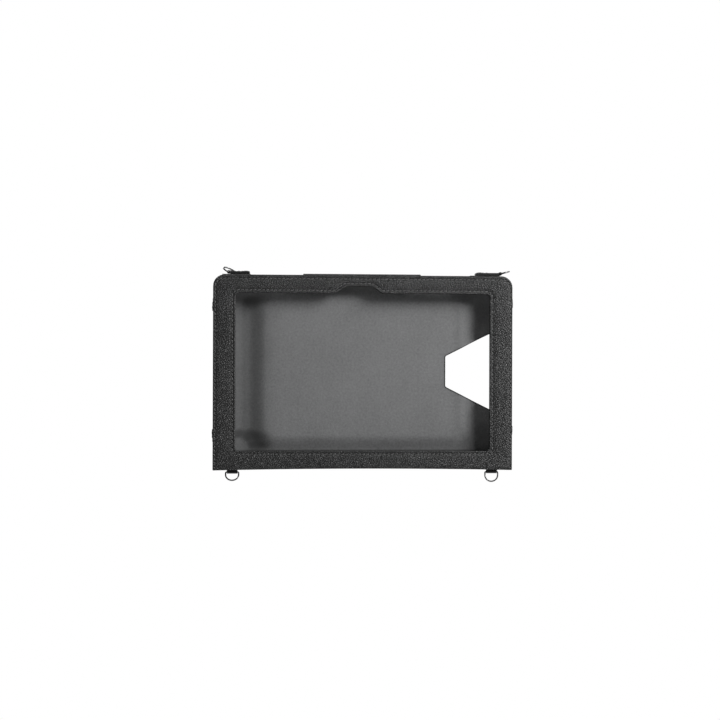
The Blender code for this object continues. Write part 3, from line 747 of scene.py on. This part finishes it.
# ---- The tray -------------------------------------------------------------------------------
LINING_LOW, LINING_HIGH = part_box("back_lining")
BOARD_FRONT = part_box("back_board")[0].y
VALLEY_Y = BOARD_FRONT - 1.1 * MM
PLATEAU_RISE, SIDE_RISE = 3.7 * MM, 4.6 * MM
VALLEY_X, CREST_X = 101 * MM, 117 * MM
VALLEY_TOP, VALLEY_LOW = 78 * MM, -71 * MM
VALLEY_RADIUS, PLATEAU_EDGE = 24 * MM, 16 * MM
# Painted shade on the lining: a dark band along the left trough, darker towards both sides, dark
# patches in the corners, and a lighter spot kept at the lower left corner.
TROUGH_X, TROUGH_WIDTH, TROUGH_SHADE = -94 * MM, 13 * MM, 0.5
LEFT_SHADE, RIGHT_SHADE = 0.58, 0.35
LIT_PATCH_X, LIT_PATCH_Z = -110 * MM, -67 * MM
CORNER_SHADE_PATCHES = (  # middle, half size and darkness of the painted shade patches in the lining's corners
    (-99 * MM, -56.5 * MM, 19 * MM, 11 * MM, 0.95),
    (-109 * MM, -54 * MM, 12 * MM, 9 * MM, 1.0),
    (-93 * MM, -63.5 * MM, 13 * MM, 8 * MM, 1.0),
    (-98 * MM, 62 * MM, 16 * MM, 10 * MM, 0.8),
    (107 * MM, -52 * MM, 10 * MM, 16 * MM, 0.6),
    (106 * MM, 54 * MM, 10 * MM, 20 * MM, 0.6),
)


def lining_depth(x, z):
    """Depth of the lining's front surface: padded middle, low line, padded sides, soft ripples."""
    across = np.abs(x)
    half = (VALLEY_TOP - VALLEY_LOW) / 2
    over_x = np.maximum(across - VALLEY_X + VALLEY_RADIUS, 0)
    over_z = np.maximum(np.abs(z - VALLEY_TOP + half) - half + VALLEY_RADIUS, 0)
    middle = smooth_step(VALLEY_RADIUS - np.hypot(over_x, over_z), 0, PLATEAU_EDGE)
    sides = smooth_step(across, VALLEY_X, CREST_X)
    sides = sides * smooth_step(across, LINING_HIGH.x + 2 * MM, CREST_X + 3 * MM)
    depth = VALLEY_Y - PLATEAU_RISE * middle - SIDE_RISE * sides
    return depth + 0.12 * MM * ripple(np.column_stack([x, z]), 45, 1.7)


def painted_shade(x, z):
    """Painted shade on the lining, from 0 to 1, standing in for shade and shadow in the tray.

    It darkens the left trough, both sides, and the corners apart from a lighter spot at the
    lower left corner, and paints shadow from just above the window's lower edge downwards.
    """
    drift = 3 * MM * ripple(np.column_stack([x, z]), 55, 5.2)
    shade = TROUGH_SHADE * np.exp(-(((x - TROUGH_X + drift) / TROUGH_WIDTH) ** 2))
    shade = np.maximum(shade, LEFT_SHADE * smooth_step(x, TROUGH_X, -105 * MM))
    shade = np.maximum(shade, RIGHT_SHADE * smooth_step(x, 74 * MM, 92 * MM))
    corner_shade = np.zeros(len(x))
    for middle_x, middle_z, half_x, half_z, dark in CORNER_SHADE_PATCHES:
        far = np.hypot((x + drift - middle_x) / half_x, (z - drift - middle_z) / half_z)
        corner_shade = np.maximum(corner_shade, dark * (1 - smooth_step(far, 0.2, 1.3)))
    from_lit_patch = np.hypot(x - LIT_PATCH_X, z - LIT_PATCH_Z)
    shade = np.maximum(shade, corner_shade * smooth_step(from_lit_patch, 4 * MM, 11 * MM))
    return np.maximum(shade, smooth_step(z, WINDOW_LOW + 0.6 * MM, WINDOW_LOW - 0.4 * MM))


def build_lining():
    """The tray's padded lining: a grid with two layers, rounded top corners and the cut-out."""
    columns, rows = 176, 108
    radius, thick = 7 * MM, 0.8 * MM
    xs = np.linspace(LINING_LOW.x, LINING_HIGH.x, columns + 1)
    past = np.maximum(0, np.abs(xs) - LINING_HIGH.x + radius)
    tops = LINING_HIGH.z - radius + np.sqrt(radius**2 - past**2)
    verts = []
    for back in (0.0, thick):
        for k in range(rows + 1):
            zs = LINING_LOW.z + (tops - LINING_LOW.z) * k / rows
            verts.append(np.column_stack([xs, lining_depth(xs, zs) + back, zs]))
    count = columns + 1
    half = count * (rows + 1)
    faces = rows_faces(rows + 1, count, wrap_columns=False)
    faces += [tuple(half + i for i in face[::-1]) for face in faces]
    rim = list(range(count))
    rim += [columns + count * k for k in range(1, rows + 1)]
    rim += [columns - k + count * rows for k in range(1, count)]
    rim += [count * k for k in range(rows - 1, 0, -1)]
    for a, b in zip(rim, rim[1:] + rim[:1]):
        faces.append((b, a, half + a, half + b))
    lining = piece("tray_lining", np.concatenate(verts), faces, "suede")
    past_edge, past_back = HALF_W + 10 * MM, 2 * MM
    outline = trace(cutout_corners(past_edge))
    cutter = closed_rows("cutout", [xz(outline, y) for y in (FRONT, past_back)], "suede")
    take_away(lining, cutter)
    # Stores the painted shade at each point, for the suede look to darken by.
    spots = np.array([vertex.co for vertex in lining.data.vertices])
    nap = lining.data.attributes.new("painted_shade", "FLOAT", "POINT")
    nap.data.foreach_set("value", painted_shade(spots[:, 0], spots[:, 2]))
    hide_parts("back_lining")
    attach(lining, "case")


def take_away(target, cutter):
    """Cuts one closed mesh from another and removes the cutter."""
    modifier = target.modifiers.new("cut", "BOOLEAN")
    modifier.operation = "DIFFERENCE"
    modifier.object = cutter
    modifier.solver = "EXACT"
    graph = bpy.context.evaluated_depsgraph_get()
    mesh = bpy.data.meshes.new_from_object(target.evaluated_get(graph))
    target.modifiers.clear()
    old = target.data
    target.data = mesh
    bpy.data.meshes.remove(old)
    bpy.data.objects.remove(cutter)


def build_cutout_rim():
    """Leather turned round the edge of the rear camera cut-out, from the back to the lining."""
    low_inner, low_mouth, high_mouth, high_inner = cutout_corners(LINING_HIGH.x)
    line = [low_mouth, low_inner, high_inner, high_mouth]
    points = trace(line, spacing=1.2 * MM, closed=False)
    run = directions(points)
    away = np.column_stack([-run[:, 1], run[:, 0]])  # into the panel
    face = lining_depth(points[:, 0], points[:, 1]) - 0.25 * MM
    back = BACK - 0.35 * MM
    width = 0.95 * MM
    section = ((0.0, 0.75), (0.12, 0.3), (0.45, 0.0), (0.9, 0.1), (1.0, 0.8))
    rows = []
    for out, deep in section:
        rows.append(xz(points + away * width * out, face + deep * MM))
    for out in (1.0, 0.0):
        rows.append(xz(points + away * width * out, back))
    rim = closed_rows("cutout_rim", along_rows(rows), "edge")
    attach(rim, "case")


def build_back():
    """The back's leather: rounded edges, and a seam valley on the rear side."""
    corners = back_corners()
    edge, valley = 0.5 * MM, 0.18 * MM
    rows = [(inward, BACK_FRONT + deep) for inward, deep in quarter(edge)[::-1]]
    rows += [(inward, BACK - deep) for inward, deep in quarter(edge)]
    for offset, share in ((-0.8, 0.0), (-0.35, 0.6), (0.0, 1.0), (0.35, 0.6), (0.9, 0.0)):
        rows.append((SIDE_SEAM + offset * MM, BACK - valley * share))
    rows = [xz(bowed(trace(corners, inward)), y) for inward, y in rows]
    cover = closed_rows("back_leather", rows, "leather")
    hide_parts("back_cover")
    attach(cover, "case")
    line = bowed(trace(corners, SIDE_SEAM, SEAM_STEP))
    stitch_row("back_stitches", xz(line, BACK - 0.16 * MM), (0, 1, 0), "case")


# ---- Walls, spine, closing strip ------------------------------------------------------------
def soften(node, look, width=0.25 * MM):
    """Gives a CAD node its look and takes the sharpness off its edges."""
    obj = frame["nodes"][node]
    obj.data.materials.clear()
    obj.data.materials.append(LOOKS[look])
    if width:
        modifier = obj.modifiers.new("soft_edges", "BEVEL")
        modifier.width = width
        modifier.segments = 2
        modifier.limit_method = "ANGLE"
        modifier.angle_limit = math.radians(SHARP_ANGLE)
    for polygon in obj.data.polygons:
        polygon.use_smooth = True
    obj.data.set_sharp_from_angle(angle=math.radians(SHARP_ANGLE))


def closure_path(start, middle, depth, end, radius):
    """(y, z) of the closing strip's middle: up inside the frame, round a bend, then back."""
    bend_steps, run_steps = 6, 12
    path = [(depth, start), (depth, middle - radius)]
    for k in range(1, bend_steps + 1):
        angle = math.pi / 2 * k / bend_steps
        y = depth + radius * (1 - math.cos(angle))
        path.append((y, middle - radius * (1 - math.sin(angle))))
    length = end - depth - radius
    path += [(depth + radius + length * k / run_steps, middle) for k in range(1, run_steps + 1)]
    return np.array(path)


def build_closure():
    """The closing strip: sewn inside the frame's top edge, over it and onto the top wall."""
    thick = flap_high.z - flap_low.z
    middle = (flap_low.z + flap_high.z) / 2
    low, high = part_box("flap_anchor")
    depth = (low.y + high.y) / 2
    end = flap_high.y
    radius, corner, lip_steps = 1.1 * MM, 5 * MM, 4
    path = closure_path(low.z, middle, depth, end, radius)
    run = directions(path)
    normal = np.column_stack([-run[:, 1], run[:, 0]])
    rows = []
    for (y, z), (out_y, out_z) in zip(path, normal):
        squeeze = max(0.0, y - (end - corner))
        inset = corner - math.sqrt(max(corner**2 - squeeze**2, 0.0))
        half = thick / 2 if z > middle - radius / 2 else (high.y - low.y) / 2
        ring = []
        for side, x in ((-1, flap_low.x + inset), (1, flap_high.x - inset)):
            for k in range(lip_steps + 1):
                angle = math.pi * k / lip_steps
                across = x + side * (math.sin(angle) - 1) * half
                lift = math.cos(angle) * half * -side
                ring.append((across, y + out_y * lift, z + out_z * lift))
        rows.append(np.array(ring))
    flap = closed_rows("closure_leather", rows, "leather")
    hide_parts("closure_flap", "flap_anchor")
    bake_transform(flap)
    inset, seam_start = 2.2 * MM, depth + 3 * MM
    outline = [
        (flap_high.x - inset, seam_start, 0),
        (flap_high.x - inset, end - inset, corner - inset),
        (flap_low.x + inset, end - inset, corner - inset),
        (flap_low.x + inset, seam_start, 0),
    ]
    line = trace(outline, spacing=SEAM_STEP, closed=False)
    stitch_row("closure_stitches", xy(line, flap_high.z), (0, 0, 1), "closure", False)
    soften("hook_tape", "hooks")
    soften("loop_tape", "loops")


def wall_lines():
    """Name and outline of each side wall's outer face, from one end to the other."""
    skin = 0.2 * MM
    wall_x, wall_top = HALF_W - skin, TOP - skin
    flare, flare_length, soft, short = 0.9 * MM, 14 * MM, 12 * MM, 1.2 * MM
    for name, side in (("left", -1), ("right", 1)):
        low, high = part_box("upper_%s_wall" % name)
        top_end = (high.x if side < 0 else low.x) + side * short
        yield "upper_" + name, [
            (top_end, wall_top, 0),
            (side * wall_x, wall_top, TOP_RADIUS - skin),
            (side * wall_x, low.z + flare_length, soft),
            (side * (wall_x + flare), low.z + flare_length / 3, soft),
            (side * (wall_x + flare), low.z + short, 0),
        ]
        low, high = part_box("lower_%s_wall" % name)
        yield "lower_" + name, [
            (side * (wall_x + flare), high.z - short, 0),
            (side * (wall_x + flare), high.z - flare_length / 3, soft),
            (side * wall_x, high.z - flare_length, soft),
            (side * wall_x, low.z + short, 0),
        ]


def build_wall_seams():
    """Stitches along both long edges of the walls and along the spine's rear edge."""
    inset, spine_inset, spine_end = 1.5 * MM, 1.2 * MM, 2 * MM
    for name, corners in wall_lines():
        line = trace(corners, spacing=SEAM_STEP, closed=False)
        for edge, y in (("front", WALL_FRONT + inset), ("rear", WALL_REAR - inset)):
            stitch_row("%s_wall_%s_stitches" % (name, edge), xz(line, y), None, "case", False)
    xs = np.linspace(-HALF_W + spine_end, HALF_W - spine_end, 300)
    line = bowed(np.column_stack([xs, np.full(len(xs), BOTTOM)]))
    stitch_row("spine_stitches", xz(line, WALL_REAR - spine_inset), (0, 0, -1), "case", False)


def build_top_hems():
    """Leather turned over the back board's top edge, seen in the gaps beside the top wall."""
    middle_low, middle_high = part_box("top_wall")
    gap, edge = 0.6 * MM, 0.45 * MM
    front, rear = BOARD_FRONT - 0.5 * MM, BACK_FRONT - 0.05 * MM
    low, high = LINING_HIGH.z + 0.15 * MM, TOP - gap
    flank = [(inward, front + deep) for inward, deep in quarter(edge, 3)[::-1]]
    flank += [(inward, rear - deep) for inward, deep in quarter(edge, 3)]
    for name, start, end in (
        ("left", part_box("upper_left_wall")[1].x, middle_low.x),
        ("right", middle_high.x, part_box("upper_right_wall")[0].x),
    ):
        xs = np.linspace(start + gap, end - gap, 40)
        rows = []
        for inward, y in flank:
            rows.append(np.column_stack([xs, np.full(len(xs), y), np.full(len(xs), low + inward)]))
        for inward, y in flank[::-1]:
            rows.append(np.column_stack([xs, np.full(len(xs), y), np.full(len(xs), high - inward)]))
        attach(closed_rows("top_%s_hem" % name, along_rows(rows), "leather"), "case")


def build_walls():
    for place in PLACES:
        soften(place + "_wall", "leather", 0.5 * MM)
        soften(place + "_wall_lining", "suede", 0.2 * MM)
    soften("top_wall", "leather", 0.5 * MM)
    soften("top_wall_lining", "suede", 0.2 * MM)
    soften("spine", "leather", 0.3 * MM)
    soften("spine_lining", "suede", 0.2 * MM)
    for node in ("front_board", "back_board"):
        soften(node, "board", 0.0)
    for node in ("back_foam", "left_side_foam", "lower_right_side_foam", "upper_right_side_foam"):
        soften(node, "foam", 0.0)
    build_wall_seams()
    build_top_hems()
    build_fold()


def build_fold():
    """The leather that joins the spine to the window frame along the bottom edge."""
    axis = JOINTS["front_frame"]["pos_m"]
    reach, thick, sag, drop = 2.3 * MM, 0.45 * MM, 0.25 * MM, 0.02 * MM
    short, stations = 0.3 * MM, np.linspace(-1, 1, 13)
    xs = np.linspace(-HALF_W + short, HALF_W - short, 90)
    under = [(t, -drop - sag * (1 - t * t)) for t in stations]
    over = [(t, thick) for t in stations[::-1]]
    rows = []
    for t, rise in under + over:
        y = np.full(len(xs), axis[1] + reach * t)
        rows.append(np.column_stack([xs, y, BOTTOM + bow(xs) + rise]))
    fold = closed_rows("spine_fold", along_rows(rows), "leather")
    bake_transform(fold)


# ---- Strap points ---------------------------------------------------------------------------
def ring_outline():
    """Middle line of a D-ring's wire: its straight leg lies on y = 0, its round side above."""
    half, leg, bend = 5.65 * MM, 3.0 * MM, 1.2 * MM
    turns = np.linspace(0, math.pi / 2, 7)
    points = [(half - bend * (1 - math.sin(a)), bend * (1 - math.cos(a))) for a in turns]
    points += [(half * math.cos(a), leg + half * math.sin(a)) for a in np.linspace(0, math.pi, 25)]
    points += [(-half + bend * (1 - math.cos(a)), bend * (1 - math.sin(a))) for a in turns]
    return np.array(points)


def build_ring(name):
    """A D-ring of round wire in the place and at the tilt of its CAD ring."""
    wire, sides = 0.62 * MM, 12
    joint = JOINTS[name]
    centre = Vector(joint["pos_m"])
    axis = Vector(joint["axis"]).normalized()
    node = frame["nodes"][name]
    middle = sum((v.co for v in node.data.vertices), Vector()) / len(node.data.vertices)
    outward = (middle - centre) - axis * (middle - centre).dot(axis)
    outward.normalize()
    normal = axis.cross(outward)
    points = ring_outline()
    run = np.roll(points, -1, axis=0) - np.roll(points, 1, axis=0)
    run /= np.linalg.norm(run, axis=1)[:, None]
    rows = []
    for (x, y), (dx, dy) in zip(points, run):
        ring = []
        for k in range(sides):
            angle = 2 * math.pi * k / sides
            side = wire * math.cos(angle)
            spot = axis * (x + dy * side) + outward * (y - dx * side)
            ring.append(tuple(centre + spot + normal * wire * math.sin(angle)))
        rows.append(np.array(ring))
    made = closed_rows(name + "_wire", rows, "metal", caps=False)
    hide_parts(name)
    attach(made, name)


def build_strap_points():
    for place in PLACES:
        build_ring(place + "_ring")
        soften(place + "_tab", "edge", 0.15 * MM)
    inset, length, rivet_rise = 1.2 * MM, 10 * MM, 0.65 * MM
    for place, side in (("upper_left", -1), ("upper_right", 1)):
        soften(place + "_tab_base", "leather", 0.2 * MM)
        soften(place + "_rivet", "metal", 0.1 * MM)
        low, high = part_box(place + "_tab")
        sewn = (high.x if side < 0 else low.x) + side * inset
        far = sewn + side * length
        line = [
            (far, high.y - inset, 0),
            (sewn, high.y - inset, 0),
            (sewn, low.y + inset, 0),
            (far, low.y + inset, 0),
        ]
        if side < 0:
            line = line[::-1]
        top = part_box(place + "_rivet")[1].z - rivet_rise
        points = xy(trace(line, spacing=SEAM_STEP, closed=False), top)
        stitch_row(place + "_tab_stitches", points, (0, 0, 1), "case", False)


# ---- Stage ----------------------------------------------------------------------------------
def build_stage():
    """A plain pale floor below the case."""
    mesh = bpy.data.meshes.new("floor")
    reach, height = 1.2, -0.8
    corners = ((-reach, -reach), (reach, -reach), (reach, reach), (-reach, reach))
    mesh.from_pydata([(x, y, height) for x, y in corners], [], [(0, 1, 2, 3)])
    floor = bpy.data.objects.new("floor", mesh)
    bpy.context.scene.collection.objects.link(floor)
    look = Look("floor")
    look.set("Base Color", grey(0.9))
    look.set("Roughness", 0.9)
    mesh.materials.append(look.material)


def area_light(name, place, target, size, power):
    """A rectangular lamp that faces its target."""
    data = bpy.data.lights.new(name, "AREA")
    data.shape = "RECTANGLE"
    data.size, data.size_y = size
    data.energy = power
    lamp = bpy.data.objects.new(name, data)
    bpy.context.scene.collection.objects.link(lamp)
    lamp.location = place
    lamp.rotation_mode = "QUATERNION"
    lamp.rotation_quaternion = (Vector(target) - Vector(place)).to_track_quat("-Z", "Y")


def build_lights():
    """A key light from the upper right, softer ones round it, and a world that looks white."""
    white = (1, 1, 1, 1)
    seen_strength, light_strength = 1.0, 0.14
    world = bpy.data.worlds.new("studio")
    bpy.context.scene.world = world
    world.use_nodes = True
    nodes, links = world.node_tree.nodes, world.node_tree.links
    soft = nodes["Background"]
    soft.inputs["Color"].default_value = white
    soft.inputs["Strength"].default_value = light_strength
    backdrop = nodes.new("ShaderNodeBackground")
    backdrop.inputs["Color"].default_value = white
    backdrop.inputs["Strength"].default_value = seen_strength
    seen = nodes.new("ShaderNodeLightPath")
    mix = nodes.new("ShaderNodeMixShader")
    links.new(seen.outputs["Is Camera Ray"], mix.inputs[0])
    links.new(soft.outputs[0], mix.inputs[1])
    links.new(backdrop.outputs[0], mix.inputs[2])
    links.new(mix.outputs[0], nodes["World Output"].inputs["Surface"])
    area_light("key", (0.66, -0.50, 0.53), (0.02, 0, 0), size=(0.42, 0.42), power=12)
    area_light("side", (1.05, -0.12, 0.12), (0, -0.01, 0), size=(0.2, 0.5), power=7)
    area_light("fill", (-0.9, -0.9, -0.2), (0, 0, 0), size=(0.6, 0.9), power=1.5)
    area_light("rear", (-0.6, 1.1, 0.7), (0, 0, 0), size=(0.9, 0.9), power=10)


def build_camera():
    """Camera square on to the case, a little to the left of its middle line."""
    distance, width, sensor = 1.15, 0.6265, 36.0
    yaw, roll = math.radians(3.5), math.radians(-0.2)
    target = Vector((-3.2 * MM, FRONT, 11.05 * MM))
    data = bpy.data.cameras.new("camera")
    data.sensor_width = sensor
    data.lens = sensor * distance / width
    camera = bpy.data.objects.new("camera", data)
    bpy.context.scene.collection.objects.link(camera)
    ahead = Vector((math.sin(yaw), math.cos(yaw), 0))
    camera.location = target - ahead * distance
    camera.rotation_mode = "QUATERNION"
    camera.rotation_quaternion = Quaternion(ahead, roll) @ ahead.to_track_quat("-Z", "Y")
    bpy.context.scene.camera = camera
    bpy.context.scene.view_settings.view_transform = "Standard"


build_camera()
build_stage()
build_lights()
build_front_frame()
build_lining()
build_cutout_rim()
build_back()
build_walls()
build_closure()
build_strap_points()
